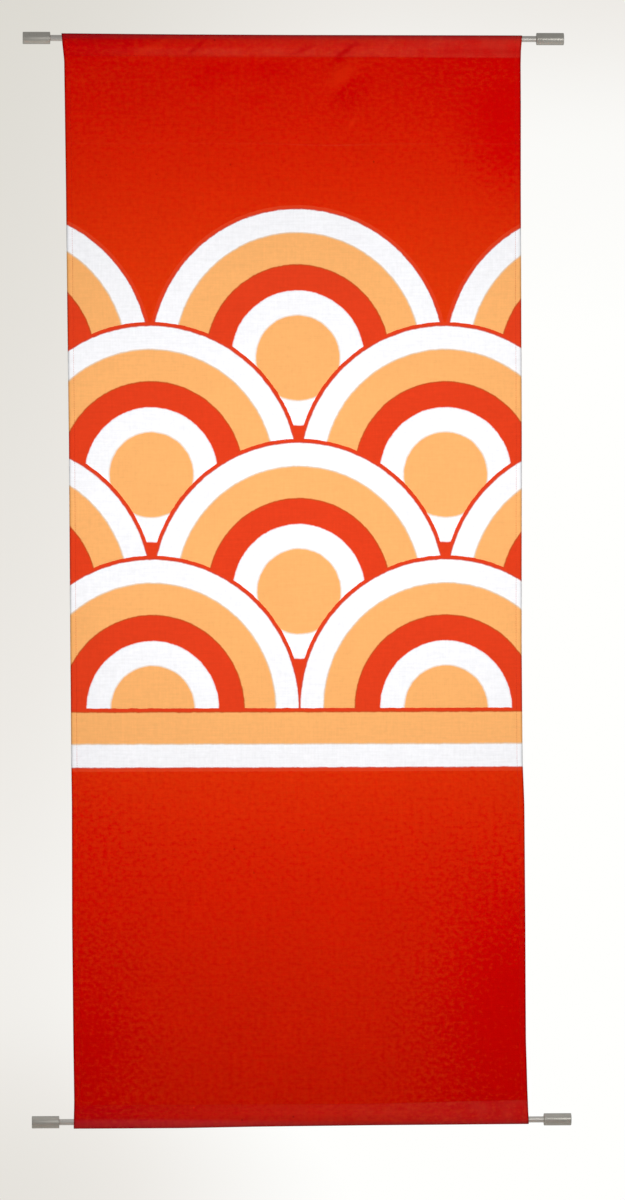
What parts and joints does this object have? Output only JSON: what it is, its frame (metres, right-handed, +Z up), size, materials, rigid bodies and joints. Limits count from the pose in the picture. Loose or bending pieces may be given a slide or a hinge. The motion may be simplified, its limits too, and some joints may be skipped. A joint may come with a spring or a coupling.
{
  "type": "cloth banner with two hanging rods",
  "caption": "Tall hanging cloth banner with side hems, a steel rod in a sewn pocket along the top and the bottom edge, and round caps on the rod ends.",
  "frame": {"origin": "middle of the top rod, on its centre line", "axes": "+Z up, along the banner's length; +Y towards the wall behind, so the printed front faces -Y; +X to the viewer's right, along the rods"},
  "size_m": [0.7182, 0.016, 1.4361],
  "materials": {
    "cloth": "matt plain weave, printed red ground with a banded pattern in white, orange and red",
    "steel": "satin, brushed along the rod"
  },
  "bodies": {
    "root": {"banner_cloth": "cloth", "top_rod": "steel", "top_cap_left": "steel", "top_cap_right": "steel", "bottom_rod": "steel", "bottom_cap_left": "steel", "bottom_cap_right": "steel"}
  },
  "joints": []
}
